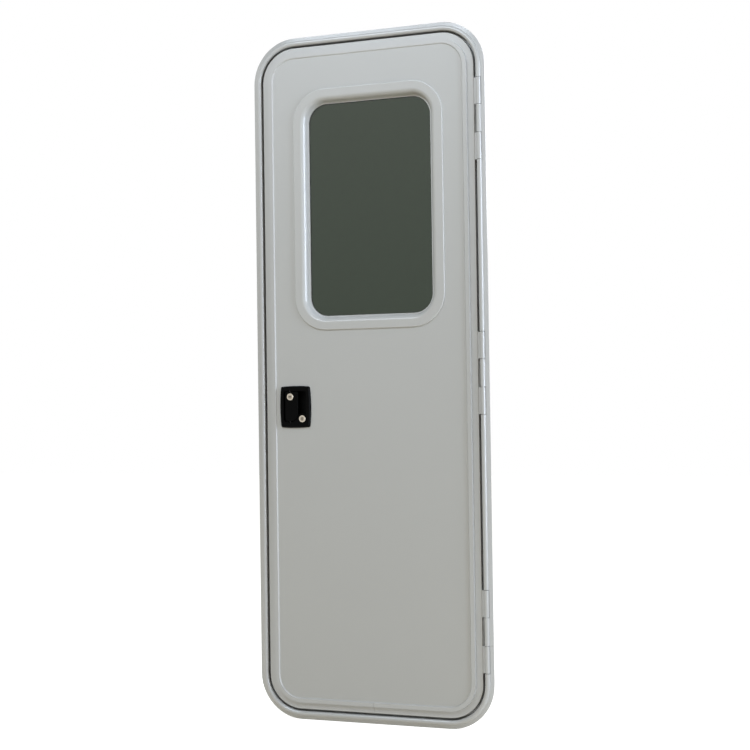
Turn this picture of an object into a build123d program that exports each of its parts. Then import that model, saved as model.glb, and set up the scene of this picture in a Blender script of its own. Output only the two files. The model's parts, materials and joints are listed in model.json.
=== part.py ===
from build123d import *
import os

# An outward-opening caravan entry door in its bent frame, in millimetres.
# X runs to the right seen from outside, Y runs into the caravan and Z runs up.
# The wall's outer face is the plane Y = 0, and the frame's lower edge is at Z = 0.
# "In" is a distance from the frame's outer edge towards the middle of the doorway.
# "Out" is a distance out of the wall plane, and "depth" a distance behind it.

# Frame: one bent extrusion whose bevelled flange laps the wall
FRAME_WIDTH = 622.0
FRAME_HEIGHT = 1751.0
FRAME_CORNER = 113.0
FLANGE_EDGE = 1.6
FLANGE_RISE = 4.6
FLANGE_FOOT = 10.2
BEAD_IN = 15.75
BEAD_OUT = 5.5
BEAD_RADIUS = 6.25
NECK_DEPTH = 6.0
JAMB_WALL = 3.5
JAMB_DEPTH = 38.0
STOP_DEPTH = 20.5
STOP_WALL = 2.5
STOP_REACH = 44.0
BUTT_SEAM = 0.4

# Fixing screws through the jambs, in pairs at the foot and the head
SCREW_HOLE = 4.5
SCREW_DEPTH = 30.0
SCREW_PAIR_END = 375.0
SCREW_SPACING = 370.0

# Rubber seal on the frame's stop
SEAL_IN = 30.0
SEAL_WIDTH = 10.0
SEAL_BASE = 2.0
SEAL_GAP = 0.3

# Leaf rim: a bent extrusion with a raised land that laps the panel
LEAF_GAP = 5.1
RIM_OUT = 6.5
RIM_LAND = 16.2
RISER_RUN = 1.2
RAISED_OUT = 13.5
RAISED_LAND = 9.7
RIM_SLOPE = 2.5
RIM_LAP = 10.0
RIM_BACK = 15.0
RIM_LIP = 2.0
RIM_ROUND = 1.5

# Sandwich panel
PANEL_OUT = 11.0
SKIN = 1.0

# Hinges: frame bead and leaf knuckles interleaved on one pin
HINGE_FOOT = 243.0
HINGE_HEAD = 248.5
FRAME_KNUCKLE = 68.0
LEAF_KNUCKLE = 65.8
KNUCKLE_GAP = 1.2
POCKET_GAP = 0.75
PIN_RADIUS = 2.5
PIN_INSET = 1.0
PIN_SEAT_FIT = 0.02
PIN_RUN_FIT = 0.08
WEB_OUT = 4.8
WEB_WALL = 4.0
HINGE_PLATE = 2.0
HINGE_PLATE_DEPTH = 12.0

# Window: moulded surround outside, clamping surround and insect screen inside
WINDOW_WIDTH = 402.0
WINDOW_HEIGHT = 618.5
WINDOW_CORNER = 85.0
WINDOW_HEAD = 139.5
WINDOW_ASIDE = 2.5
SURROUND_OUT = 14.5
SURROUND_LAND = 22.8
SURROUND_ROUND = 2.4
SHOULDER_ROUND = 8.0
SHOULDER_RUN = 7.2
SHOULDER_DROP = 6.0
WALL_ROUND = 18.0
RECESS_RUN = 11.7
RECESS_LEDGE = 2.5
RECESS_LEDGE_WALL = 1.5
RECESS_END = 7.0
CUTOUT_IN = 21.0
CUTOUT_FIT = 0.3
GLASS_SEAL = 1.0
GLASS_SEAL_SHOWN = 0.8
GLASS_LAP = 5.0
GLASS = 4.0
INNER_SURROUND_IN = 8.0
INNER_SURROUND_RISE = 3.5
INNER_SURROUND_ROUND = 1.5
SCREEN_LEDGE = 3.0
SCREEN_SINK = 1.6
SCREEN = 0.8
SCREEN_FIT = 0.3

# Lock housing
LOCK_IN = 109.5
LOCK_HEIGHT = 798.5
LOCK_WIDTH = 86.0
LOCK_TALL = 107.5
LOCK_CORNER = 5.0
LOCK_SIDE_BOW = 3.0
LOCK_END_BOW = 2.0
LOCK_RISE = 6.0
LOCK_BEVEL = 4.5
LOCK_BEVEL_DROP = 3.5
LOCK_WALL = 2.5
LOCK_FLOOR = 2.0
LOCK_POCKET_GAP = 0.5
RECESS_RIGHT = 30.5
RECESS_LOW = -22.0
RECESS_CORNER = 5.0

# Paddle that pulls out of the lock housing
PADDLE_LEFT = -27.5
PADDLE_RIGHT = 7.8
PADDLE_LOW = -37.0
PADDLE_HIGH = 39.0
PADDLE_BIG_CORNER = 19.0
PADDLE_CORNER = 6.0
PADDLE_SMALL_CORNER = 3.0
PADDLE_GAP = 1.5
PADDLE_HEEL_GAP = 4.0
PADDLE_SET_BACK = 0.5
PADDLE_THICK = 7.0
PADDLE_EDGE = 1.5
PIVOT_X = -15.3
PIVOT_BACK = 4.5
PIVOT_RADIUS = 1.6
PIVOT_TOP_GRIP = 2.8
PIVOT_LOW_GRIP = 12.0
PIVOT_SEAT = 3.0
PIVOT_NOTCH = 4.4
PIVOT_SEAT_FIT = 0.02
PIVOT_RUN_FIT = 0.08
PIVOT_END_GAP = 0.3

# Key cylinders: one in the paddle, one in the housing
UPPER_LOCK_X = -13.2
UPPER_LOCK_Z = 26.0
LOWER_LOCK_X = 20.2
LOWER_LOCK_Z = -30.5
LOWER_BOSS_RADIUS = 13.5
BEZEL_RADIUS = 8.8
BEZEL_RISE = 1.5
BEZEL_EDGE = 0.6
BARREL_RADIUS = 7.8
UPPER_BARREL_LENGTH = 9.5
LOWER_BARREL_LENGTH = 24.0
PLUG_RADIUS = 5.8
PLUG_LENGTH = 8.0
PLUG_FIT = 0.06
PLUG_PROUD = 0.4
KEYWAY_LENGTH = 7.8
KEYWAY_WIDTH = 2.2
KEYWAY_DEPTH = 3.0

# Latch and its keeper at the lock jamb
LATCH_TALL = 22.0
LATCH_FRONT = 2.0
LATCH_THICK = 10.0
LATCH_LENGTH = 12.0
LATCH_PROUD = 0.5
LATCH_BEVEL = 4.0
LATCH_FIT = 0.3
STRIKE_TALL = 64.0
STRIKE_WALL = 1.5
STRIKE_FRONT = 7.0
STRIKE_BACK = 18.5
STRIKE_SLOT = 26.0

# Inside handle
INNER_PLATE_WIDTH = 62.0
INNER_PLATE_TALL = 112.0
INNER_PLATE_CORNER = 12.0
INNER_PLATE_THICK = 5.0
INNER_PLATE_EDGE = 1.5
LEVER_RISE = 22.0
LEVER_BOSS = 12.0
LEVER_STAND = 14.0
LEVER_LENGTH = 92.0
LEVER_WIDTH = 18.0
LEVER_THICK = 9.0
LEVER_EDGE = 2.5
SNIB_DROP = 31.0
SNIB_RADIUS = 10.0
SNIB_STAND = 5.0
SNIB_GRIP = 5.0
SNIB_GRIP_TALL = 9.0

# Places worked out from the sizes above
JAMB_IN = FLANGE_FOOT + JAMB_WALL
RIM_IN = BEAD_IN + BEAD_RADIUS + LEAF_GAP
RISER_IN = RIM_IN + RIM_LAND
RAISED_IN = RISER_IN + RISER_RUN
SLOPE_IN = RAISED_IN + RAISED_LAND
LIP_IN = SLOPE_IN + RIM_SLOPE
PANEL_IN = LIP_IN - RIM_LAP
PANEL_BACK = RIM_BACK - RIM_LIP
HINGE_X = FRAME_WIDTH / 2 - BEAD_IN
RIM_EDGE_X = FRAME_WIDTH / 2 - RIM_IN
FRAME_MIDDLE = FRAME_HEIGHT / 2
WINDOW_MIDDLE = FRAME_HEIGHT - WINDOW_HEAD - WINDOW_HEIGHT / 2
WALL_BEND_IN = SURROUND_LAND + SHOULDER_RUN
WALL_BEND_FRONT = SHOULDER_DROP - SURROUND_OUT
WALL_FOOT_IN = SURROUND_LAND + RECESS_RUN
RECESS_IN = WALL_FOOT_IN + RECESS_LEDGE
LEDGE_FRONT = RECESS_END - RECESS_LEDGE_WALL
GLASS_FRONT = RECESS_END + GLASS_SEAL
GLASS_BACK = GLASS_FRONT + GLASS
GLASS_IN = RECESS_IN - GLASS_LAP
INNER_OPENING_IN = RECESS_IN + GLASS_SEAL_SHOWN
INNER_FACE = PANEL_BACK + INNER_SURROUND_RISE
SCREEN_IN = INNER_OPENING_IN - SCREEN_LEDGE
LOCK_X = LOCK_IN - FRAME_WIDTH / 2
LOCK_FRONT = -PANEL_OUT - LOCK_RISE
PADDLE_FRONT = LOCK_FRONT + PADDLE_SET_BACK
PADDLE_BACK = PADDLE_FRONT + PADDLE_THICK
PIVOT_Y = PADDLE_FRONT + PIVOT_BACK
BARREL_DISC = PLUG_LENGTH + PLUG_FIT


def section(points):
    """Closed flat section: x is the distance in, y the depth."""
    return make_face(Polyline(*points, close=True))


def ring(profile, width, height, corner, middle):
    """One section bent all round a rounded rectangle in the door's plane."""
    rise = height / 2 - corner
    reach = width / 2 - corner
    edge = Pos(-width / 2, 0, 0) * profile
    side = extrude(edge, rise, dir=(0, 0, 1))
    bend = revolve(Pos(0, 0, rise) * edge, Axis((-reach, 0, rise), (0, 1, 0)), 90)
    head = extrude(Pos(-reach, 0, height / 2) * Rot(0, 90, 0) * profile, reach, dir=(1, 0, 0))
    quarter = side + bend + head
    half = quarter + mirror(quarter, Plane.YZ)
    return Pos(0, 0, middle) * (half + mirror(half, Plane.XY))


def between(outline, back, front):
    """Outline in the door's plane made solid from one depth to a shallower one."""
    return extrude(Plane.XZ.offset(-back) * outline, back - front, dir=(0, -1, 0))


def block(x0, x1, y0, y1, z0, z1):
    """Rectangular solid between two corners."""
    middle = Pos((x0 + x1) / 2, (y0 + y1) / 2, (z0 + z1) / 2)
    return middle * Box(x1 - x0, y1 - y0, z1 - z0)


def upright(x, y, low, high, radius):
    """Round bar that stands along Z."""
    return Pos(x, y, (low + high) / 2) * Cylinder(radius, high - low)


def inset_outline(distance):
    """Rounded rectangle that lies a distance in from the frame's outer edge."""
    width = FRAME_WIDTH - 2 * distance
    height = FRAME_HEIGHT - 2 * distance
    return Pos(0, FRAME_MIDDLE) * RectangleRounded(width, height, FRAME_CORNER - distance)


def window_outline(distance):
    """Rounded rectangle that lies a distance in from the window surround's edge."""
    width = WINDOW_WIDTH - 2 * distance
    height = WINDOW_HEIGHT - 2 * distance
    return Pos(WINDOW_ASIDE, WINDOW_MIDDLE) * RectangleRounded(width, height, WINDOW_CORNER - distance)


def window_ring(profile):
    """One section bent all round the window."""
    return Pos(WINDOW_ASIDE, 0, 0) * ring(profile, WINDOW_WIDTH, WINDOW_HEIGHT, WINDOW_CORNER, WINDOW_MIDDLE)


def corner_box(left, right, low, high):
    """Rectangle in the door's plane between two corners."""
    return Pos((left + right) / 2, (low + high) / 2) * Rectangle(right - left, high - low)


def hinge_heights():
    """Middle of each hinge, by name."""
    return {
        "bottom": HINGE_FOOT,
        "middle": FRAME_MIDDLE,
        "top": FRAME_HEIGHT - HINGE_HEAD,
    }


def knuckle_spans(middle):
    """Lower and upper ends of a hinge's two leaf knuckles."""
    near = FRAME_KNUCKLE / 2 + KNUCKLE_GAP
    far = near + LEAF_KNUCKLE
    return [(middle - far, middle - near), (middle + near, middle + far)]


def outer_frame():
    """Bent frame with its bead cut away where the leaf's knuckles sit."""
    profile = section([
        (0, 0),
        (0, -FLANGE_EDGE),
        (BEAD_IN - BEAD_RADIUS, -FLANGE_RISE),
        (BEAD_IN, -BEAD_OUT),
        (BEAD_IN, 0),
        (JAMB_IN, NECK_DEPTH),
        (JAMB_IN, STOP_DEPTH),
        (STOP_REACH, STOP_DEPTH),
        (STOP_REACH, STOP_DEPTH + STOP_WALL),
        (JAMB_IN, STOP_DEPTH + STOP_WALL),
        (JAMB_IN, JAMB_DEPTH),
        (FLANGE_FOOT, JAMB_DEPTH),
        (FLANGE_FOOT, 0),
    ])
    profile += Pos(BEAD_IN, -BEAD_OUT) * Circle(BEAD_RADIUS)
    frame = ring(profile, FRAME_WIDTH, FRAME_HEIGHT, FRAME_CORNER, FRAME_MIDDLE)
    for middle in hinge_heights().values():
        for low, high in knuckle_spans(middle):
            frame -= upright(
                HINGE_X, -BEAD_OUT, low - KNUCKLE_GAP, high + KNUCKLE_GAP, BEAD_RADIUS + POCKET_GAP
            )
        half = FRAME_KNUCKLE / 2
        frame -= upright(HINGE_X, -BEAD_OUT, middle - half, middle + half, PIN_RADIUS + PIN_SEAT_FIT)
    seam = HINGE_FOOT - (FRAME_KNUCKLE + KNUCKLE_GAP) / 2
    frame -= block(
        FRAME_WIDTH / 2 - STOP_REACH - BUTT_SEAM,
        FRAME_WIDTH / 2 + BUTT_SEAM,
        -BEAD_OUT - 2 * BEAD_RADIUS,
        JAMB_DEPTH + BUTT_SEAM,
        seam - BUTT_SEAM / 2,
        seam + BUTT_SEAM / 2,
    )
    for pair in (SCREW_PAIR_END, FRAME_HEIGHT - SCREW_PAIR_END):
        for height in (pair - SCREW_SPACING / 2, pair + SCREW_SPACING / 2):
            frame -= Pos(0, SCREW_DEPTH, height) * Rot(0, 90, 0) * Cylinder(SCREW_HOLE / 2, FRAME_WIDTH)
    return frame


def frame_seal():
    """Half-round rubber bulb on a flat root, all round the stop."""
    crest = RIM_BACK + SEAL_GAP
    root = STOP_DEPTH - SEAL_BASE
    far = SEAL_IN + SEAL_WIDTH
    flat = Polyline((SEAL_IN, root), (SEAL_IN, STOP_DEPTH), (far, STOP_DEPTH), (far, root))
    bulb = ThreePointArc((far, root), (SEAL_IN + SEAL_WIDTH / 2, crest), (SEAL_IN, root))
    profile = make_face([*flat.edges(), *bulb.edges()])
    return ring(profile, FRAME_WIDTH, FRAME_HEIGHT, FRAME_CORNER, FRAME_MIDDLE)


def hinge_pin(middle):
    """Plain pin through one hinge's three knuckles."""
    low, high = knuckle_spans(middle)
    return upright(HINGE_X, -BEAD_OUT, low[0] + PIN_INSET, high[1] - PIN_INSET, PIN_RADIUS)


def hinge_leaf(middle):
    """Two knuckles on webs that stand off one plate against the rim's edge."""
    low, high = knuckle_spans(middle)
    leaf = block(
        RIM_EDGE_X, RIM_EDGE_X + HINGE_PLATE, -WEB_OUT + WEB_WALL, HINGE_PLATE_DEPTH, low[0], high[1]
    )
    for start, end in (low, high):
        leaf += upright(HINGE_X, -BEAD_OUT, start, end, BEAD_RADIUS)
        leaf += block(RIM_EDGE_X, HINGE_X, -WEB_OUT, -WEB_OUT + WEB_WALL, start, end)
    return leaf - upright(HINGE_X, -BEAD_OUT, low[0], high[1], PIN_RADIUS + PIN_RUN_FIT)


def leaf_rim():
    """Bent rim: outer land, riser, raised land and the lips that hold the panel."""
    profile = section([
        (RIM_IN, -RIM_OUT),
        (RISER_IN, -RIM_OUT),
        (RAISED_IN, -RAISED_OUT),
        (SLOPE_IN, -RAISED_OUT),
        (LIP_IN, -PANEL_OUT),
        (PANEL_IN, -PANEL_OUT),
        (PANEL_IN, PANEL_BACK),
        (LIP_IN, PANEL_BACK),
        (LIP_IN, RIM_BACK),
        (RIM_IN, RIM_BACK),
    ])
    edge = profile.vertices().sort_by(Axis.X)[:2].sort_by(Axis.Y)[0]
    profile = fillet(edge, RIM_ROUND)
    rim = ring(profile, FRAME_WIDTH, FRAME_HEIGHT, FRAME_CORNER, FRAME_MIDDLE)
    rim -= block(
        -BUTT_SEAM / 2, BUTT_SEAM / 2, -2 * RAISED_OUT, 2 * RIM_BACK, 0, LIP_IN + BUTT_SEAM
    )
    rim -= block(
        -RIM_EDGE_X - LATCH_PROUD,
        -RIM_EDGE_X + LATCH_LENGTH + LATCH_FIT,
        LATCH_FRONT - LATCH_FIT,
        LATCH_FRONT + LATCH_THICK + LATCH_FIT,
        LOCK_HEIGHT - LATCH_TALL / 2 - LATCH_FIT,
        LOCK_HEIGHT + LATCH_TALL / 2 + LATCH_FIT,
    )
    return rim


def panel_layer(back, front):
    """One layer of the sandwich panel, with the window cut through it."""
    outline = inset_outline(PANEL_IN) - window_outline(CUTOUT_IN)
    return between(outline, back, front)


def lock_pocket():
    """Hole through the panel for the lock housing's back."""
    return place_lock(between(case_outline(LOCK_POCKET_GAP), PANEL_BACK - SKIN, -PANEL_OUT))


def outer_skin():
    """Painted outer sheet."""
    return panel_layer(SKIN - PANEL_OUT, -PANEL_OUT) - lock_pocket()


def door_core():
    """Foam core between the two sheets."""
    return panel_layer(PANEL_BACK - SKIN, SKIN - PANEL_OUT) - lock_pocket()


def inner_skin():
    """Inner sheet."""
    return panel_layer(PANEL_BACK, PANEL_BACK - SKIN)


def window_surround():
    """Moulded surround: a proud land, a recess wall that steepens inwards and a ledge beside the glass."""
    profile = section([
        (0, -PANEL_OUT),
        (0, -SURROUND_OUT),
        (SURROUND_LAND, -SURROUND_OUT),
        (WALL_BEND_IN, WALL_BEND_FRONT),
        (WALL_FOOT_IN, LEDGE_FRONT),
        (RECESS_IN, LEDGE_FRONT),
        (RECESS_IN, RECESS_END),
        (GLASS_IN, RECESS_END),
        (CUTOUT_IN + CUTOUT_FIT, -PANEL_OUT),
    ])
    edge, shoulder = profile.vertices().group_by(Axis.Y)[0].sort_by(Axis.X)
    profile = fillet(edge, SURROUND_ROUND)
    profile = fillet(profile.vertices().sort_by_distance(shoulder)[0], SHOULDER_ROUND)
    profile = fillet(profile.vertices().sort_by_distance((WALL_BEND_IN, WALL_BEND_FRONT))[0], WALL_ROUND)
    return window_ring(profile)


def window_seal():
    """Thin glazing rubber that shows as a dark line round the glass."""
    shown = window_outline(INNER_OPENING_IN)
    return between(window_outline(GLASS_IN) - shown, GLASS_FRONT, RECESS_END)


def window_glass():
    """Single tinted pane."""
    return between(window_outline(GLASS_IN), GLASS_BACK, GLASS_FRONT)


def window_inner_surround():
    """Inside clamping ring, with a ledge that the insect screen lies on."""
    ledge = INNER_FACE - SCREEN_SINK
    profile = section([
        (INNER_SURROUND_IN, PANEL_BACK),
        (INNER_SURROUND_IN, INNER_FACE),
        (SCREEN_IN, INNER_FACE),
        (SCREEN_IN, ledge),
        (INNER_OPENING_IN, ledge),
        (INNER_OPENING_IN, GLASS_BACK),
        (GLASS_IN, GLASS_BACK),
        (GLASS_IN, PANEL_BACK),
    ])
    outer = profile.vertices().group_by(Axis.Y)[-1].sort_by(Axis.X)[0]
    profile = fillet(outer, INNER_SURROUND_ROUND)
    return window_ring(profile)


def fly_screen():
    """Insect screen, as a thin sheet on the inner surround's ledge."""
    ledge = INNER_FACE - SCREEN_SINK
    return between(window_outline(SCREEN_IN + SCREEN_FIT), ledge + SCREEN, ledge)


def place_lock(piece):
    """Move a piece drawn about the lock's middle to its place on the leaf."""
    return Pos(LOCK_X, 0, LOCK_HEIGHT) * piece


def paddle_outline():
    """Paddle with one large corner that clears the lower key cylinder."""
    outline = corner_box(PADDLE_LEFT, PADDLE_RIGHT, PADDLE_LOW, PADDLE_HIGH)
    low, high = outline.vertices().group_by(Axis.Y)
    low = low.sort_by(Axis.X)
    high = high.sort_by(Axis.X)
    outline = fillet(low[1], PADDLE_BIG_CORNER)
    outline = fillet(outline.vertices().sort_by_distance(low[0])[0], PADDLE_CORNER)
    outline = fillet(outline.vertices().sort_by_distance(high[0])[0], PADDLE_SMALL_CORNER)
    return fillet(outline.vertices().sort_by_distance(high[1])[0], PADDLE_SMALL_CORNER)


def lower_boss():
    """Disc round the lower key cylinder that the dish leaves standing."""
    return Pos(LOWER_LOCK_X, LOWER_LOCK_Z) * Circle(LOWER_BOSS_RADIUS)


def dish_outline():
    """Dish: the paddle's own shape with a gap, more room at its heel, and the finger recess."""
    recess = corner_box(PADDLE_RIGHT - PADDLE_GAP, RECESS_RIGHT, RECESS_LOW, PADDLE_HIGH + PADDLE_GAP)
    right = recess.vertices().group_by(Axis.X)[-1].sort_by(Axis.Y)[-1]
    recess = fillet(right, RECESS_CORNER)
    fit = offset(paddle_outline(), PADDLE_GAP)
    heel = Pos(PADDLE_GAP - PADDLE_HEEL_GAP, 0) * fit
    return fit + heel + (recess - lower_boss())


def case_outline(gap):
    """Outside of the housing's back, with a gap all round it."""
    return offset(dish_outline() + lower_boss(), LOCK_WALL + gap)


def housing_outline():
    """Lock housing's edge: four bowed sides and small round corners."""
    half_width = LOCK_WIDTH / 2 - LOCK_SIDE_BOW
    half_tall = LOCK_TALL / 2 - LOCK_END_BOW
    sides = [
        ThreePointArc((-half_width, -half_tall), (0, -LOCK_TALL / 2), (half_width, -half_tall)),
        ThreePointArc((half_width, -half_tall), (LOCK_WIDTH / 2, 0), (half_width, half_tall)),
        ThreePointArc((half_width, half_tall), (0, LOCK_TALL / 2), (-half_width, half_tall)),
        ThreePointArc((-half_width, half_tall), (-LOCK_WIDTH / 2, 0), (-half_width, -half_tall)),
    ]
    outline = make_face([side.edge() for side in sides])
    return fillet(outline.vertices(), LOCK_CORNER)


def lock_escutcheon():
    """Black lock housing: bevelled plate, deep dish, bore for the cylinder and open pin seats."""
    plate = between(housing_outline(), -PANEL_OUT, LOCK_FRONT)
    rim = plate.faces().sort_by(Axis.Y)[0].edges()
    plate = chamfer(rim, LOCK_BEVEL_DROP, LOCK_BEVEL, reference=plate.faces().sort_by(Axis.Y)[0])
    housing = plate + between(case_outline(0), LOCK_FLOOR + LOCK_WALL, -PANEL_OUT)
    housing -= between(dish_outline(), LOCK_FLOOR, LOCK_FRONT)
    housing -= between(
        Pos(LOWER_LOCK_X, LOWER_LOCK_Z) * Circle(BARREL_RADIUS), PANEL_BACK, LOCK_FRONT
    )
    for low, high in pivot_spans():
        housing -= upright(PIVOT_X, PIVOT_Y, low, high, PIVOT_RADIUS + PIVOT_SEAT_FIT)
        housing -= block(
            PIVOT_X - PIVOT_NOTCH / 2, PIVOT_X + PIVOT_NOTCH / 2, LOCK_FRONT, PIVOT_Y, low, high
        )
    return place_lock(housing)


def pivot_spans():
    """Lower and upper ends of the paddle's two stub pins."""
    foot = PADDLE_LOW - PADDLE_GAP - PIVOT_SEAT
    head = PADDLE_HIGH + PADDLE_GAP + PIVOT_SEAT
    return [(foot, PADDLE_LOW + PIVOT_LOW_GRIP), (PADDLE_HIGH - PIVOT_TOP_GRIP, head)]


def lock_pivot_pins():
    """Two stub pins that the paddle turns on."""
    low, high = pivot_spans()
    pins = upright(PIVOT_X, PIVOT_Y, *low, PIVOT_RADIUS)
    return place_lock(pins + upright(PIVOT_X, PIVOT_Y, *high, PIVOT_RADIUS))


def paddle_handle():
    """Pull paddle, bored for its pins and the upper key cylinder."""
    paddle = between(paddle_outline(), PADDLE_BACK, PADDLE_FRONT)
    paddle = fillet(paddle.faces().sort_by(Axis.Y)[0].edges(), PADDLE_EDGE)
    paddle -= between(
        Pos(UPPER_LOCK_X, UPPER_LOCK_Z) * Circle(BARREL_RADIUS), PADDLE_BACK, PADDLE_FRONT
    )
    for low, high in pivot_spans():
        bore = PIVOT_RADIUS + PIVOT_RUN_FIT
        paddle -= upright(PIVOT_X, PIVOT_Y, low - PIVOT_END_GAP, high + PIVOT_END_GAP, bore)
    return place_lock(paddle)


def key_barrel(x, z, face, length):
    """Key cylinder's fixed part: bezel, body and the bore for the plug."""
    at = Pos(x, z)
    barrel = between(at * Circle(BEZEL_RADIUS), face, face - BEZEL_RISE)
    barrel = chamfer(barrel.faces().sort_by(Axis.Y)[0].edges(), BEZEL_EDGE)
    barrel += between(at * Circle(BARREL_RADIUS), face + length, face)
    bore = between(at * Circle(PLUG_RADIUS + PLUG_FIT), face - BEZEL_RISE + BARREL_DISC, face - BEZEL_RISE)
    return place_lock(barrel - bore)


def key_plug(x, z, face, upright_slot):
    """Key cylinder's turning plug with its keyway."""
    front = face - BEZEL_RISE - PLUG_PROUD
    at = Pos(x, z)
    plug = between(at * Circle(PLUG_RADIUS), face - BEZEL_RISE + PLUG_LENGTH, front)
    slot = SlotOverall(KEYWAY_LENGTH, KEYWAY_WIDTH, rotation=90 if upright_slot else 0)
    return place_lock(plug - between(at * slot, front + KEYWAY_DEPTH, front))


def latch_bolt():
    """Slam latch, drawn back almost flush with the leaf's edge."""
    tip = -RIM_EDGE_X - LATCH_PROUD
    bolt = block(
        tip,
        -RIM_EDGE_X + LATCH_LENGTH,
        LATCH_FRONT,
        LATCH_FRONT + LATCH_THICK,
        LOCK_HEIGHT - LATCH_TALL / 2,
        LOCK_HEIGHT + LATCH_TALL / 2,
    )
    corner = bolt.edges().filter_by(Axis.Z).group_by(Axis.X)[0].sort_by(Axis.Y)[-1]
    return chamfer(corner, LATCH_BEVEL)


def strike_plate():
    """Keeper plate on the lock jamb, with a slot for the latch."""
    face = JAMB_IN - FRAME_WIDTH / 2
    plate = block(
        face,
        face + STRIKE_WALL,
        STRIKE_FRONT,
        STRIKE_BACK,
        LOCK_HEIGHT - STRIKE_TALL / 2,
        LOCK_HEIGHT + STRIKE_TALL / 2,
    )
    middle = (STRIKE_FRONT + STRIKE_BACK) / 2
    half_slot = (STRIKE_BACK - STRIKE_FRONT) / 4
    return plate - block(
        face,
        face + STRIKE_WALL,
        middle - half_slot,
        middle + half_slot,
        LOCK_HEIGHT - STRIKE_SLOT / 2,
        LOCK_HEIGHT + STRIKE_SLOT / 2,
    )


def inner_handle_plate():
    """Back plate of the inside handle."""
    outline = RectangleRounded(INNER_PLATE_WIDTH, INNER_PLATE_TALL, INNER_PLATE_CORNER)
    plate = between(outline, PANEL_BACK + INNER_PLATE_THICK, PANEL_BACK)
    return place_lock(fillet(plate.faces().sort_by(Axis.Y)[-1].edges(), INNER_PLATE_EDGE))


def inner_lever():
    """Inside lever: a round boss and an arm that points to the hinges."""
    seat = PANEL_BACK + INNER_PLATE_THICK
    boss = between(Pos(0, LEVER_RISE) * Circle(LEVER_BOSS), seat + LEVER_STAND, seat)
    middle = (LEVER_LENGTH - LEVER_WIDTH) / 2
    bar = Pos(middle, LEVER_RISE) * SlotOverall(LEVER_LENGTH, LEVER_WIDTH)
    arm = between(bar, seat + LEVER_STAND + LEVER_THICK, seat + LEVER_STAND)
    arm = fillet(arm.faces().sort_by(Axis.Y)[-1].edges(), LEVER_EDGE)
    return place_lock(boss + arm)


def inner_snib():
    """Small turn knob that works the lower lock from inside."""
    seat = PANEL_BACK + INNER_PLATE_THICK
    base = between(Pos(0, -SNIB_DROP) * Circle(SNIB_RADIUS), seat + SNIB_STAND, seat)
    grip = corner_box(-SNIB_GRIP / 2, SNIB_GRIP / 2, -SNIB_DROP - SNIB_RADIUS, SNIB_RADIUS - SNIB_DROP)
    return place_lock(base + between(grip, seat + SNIB_STAND + SNIB_GRIP_TALL, seat + SNIB_STAND))


def build():
    """Every piece of the door, by node name."""
    pieces = {
        "outer_frame": outer_frame(),
        "frame_seal": frame_seal(),
        "strike_plate": strike_plate(),
        "leaf_rim": leaf_rim(),
        "outer_skin": outer_skin(),
        "door_core": door_core(),
        "inner_skin": inner_skin(),
        "window_surround": window_surround(),
        "window_seal": window_seal(),
        "window_glass": window_glass(),
        "window_inner_surround": window_inner_surround(),
        "fly_screen": fly_screen(),
        "lock_escutcheon": lock_escutcheon(),
        "lock_pivot_pins": lock_pivot_pins(),
        "paddle_handle": paddle_handle(),
        "upper_lock_barrel": key_barrel(UPPER_LOCK_X, UPPER_LOCK_Z, PADDLE_FRONT, UPPER_BARREL_LENGTH),
        "upper_key_plug": key_plug(UPPER_LOCK_X, UPPER_LOCK_Z, PADDLE_FRONT, False),
        "lower_lock_barrel": key_barrel(LOWER_LOCK_X, LOWER_LOCK_Z, LOCK_FRONT, LOWER_BARREL_LENGTH),
        "lower_key_plug": key_plug(LOWER_LOCK_X, LOWER_LOCK_Z, LOCK_FRONT, True),
        "latch_bolt": latch_bolt(),
        "inner_handle_plate": inner_handle_plate(),
        "inner_lever": inner_lever(),
        "inner_snib": inner_snib(),
    }
    for name, middle in hinge_heights().items():
        pieces[f"hinge_pin_{name}"] = hinge_pin(middle)
        pieces[f"hinge_leaf_{name}"] = hinge_leaf(middle)
    return pieces


os.makedirs("parts", exist_ok=True)
for node, piece in build().items():
    export_step(piece, f"parts/{node}.step")
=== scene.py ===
"""Dress a caravan entry door: finishes, fasteners, insect screen, studio and camera."""

import json
import logging
import math
from abc import ABC, abstractmethod
from collections.abc import Iterator
from dataclasses import dataclass
from enum import Enum
from typing import Any

import bmesh
import bpy
from mathutils import Matrix, Vector
from mathutils.bvhtree import BVHTree

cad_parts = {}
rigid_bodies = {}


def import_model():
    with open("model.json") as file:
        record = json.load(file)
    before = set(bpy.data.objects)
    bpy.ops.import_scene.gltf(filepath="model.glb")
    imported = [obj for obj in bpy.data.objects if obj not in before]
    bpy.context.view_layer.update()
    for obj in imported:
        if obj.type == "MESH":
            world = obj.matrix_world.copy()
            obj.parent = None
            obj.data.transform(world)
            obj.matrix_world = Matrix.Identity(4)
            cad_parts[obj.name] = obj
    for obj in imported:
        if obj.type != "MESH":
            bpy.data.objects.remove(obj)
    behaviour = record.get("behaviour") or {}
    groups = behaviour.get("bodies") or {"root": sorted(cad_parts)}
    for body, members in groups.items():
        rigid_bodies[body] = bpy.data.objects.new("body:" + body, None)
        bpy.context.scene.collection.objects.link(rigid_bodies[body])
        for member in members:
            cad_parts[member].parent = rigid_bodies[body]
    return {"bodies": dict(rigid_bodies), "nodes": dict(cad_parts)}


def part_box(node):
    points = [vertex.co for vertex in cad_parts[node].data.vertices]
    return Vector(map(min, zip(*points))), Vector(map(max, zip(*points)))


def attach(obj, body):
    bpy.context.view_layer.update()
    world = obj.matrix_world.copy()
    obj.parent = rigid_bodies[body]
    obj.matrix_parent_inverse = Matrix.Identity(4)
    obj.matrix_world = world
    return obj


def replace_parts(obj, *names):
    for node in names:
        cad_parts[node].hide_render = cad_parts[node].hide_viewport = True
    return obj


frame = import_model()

LOG = logging.getLogger("caravan_door")
MM = 0.001

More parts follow.
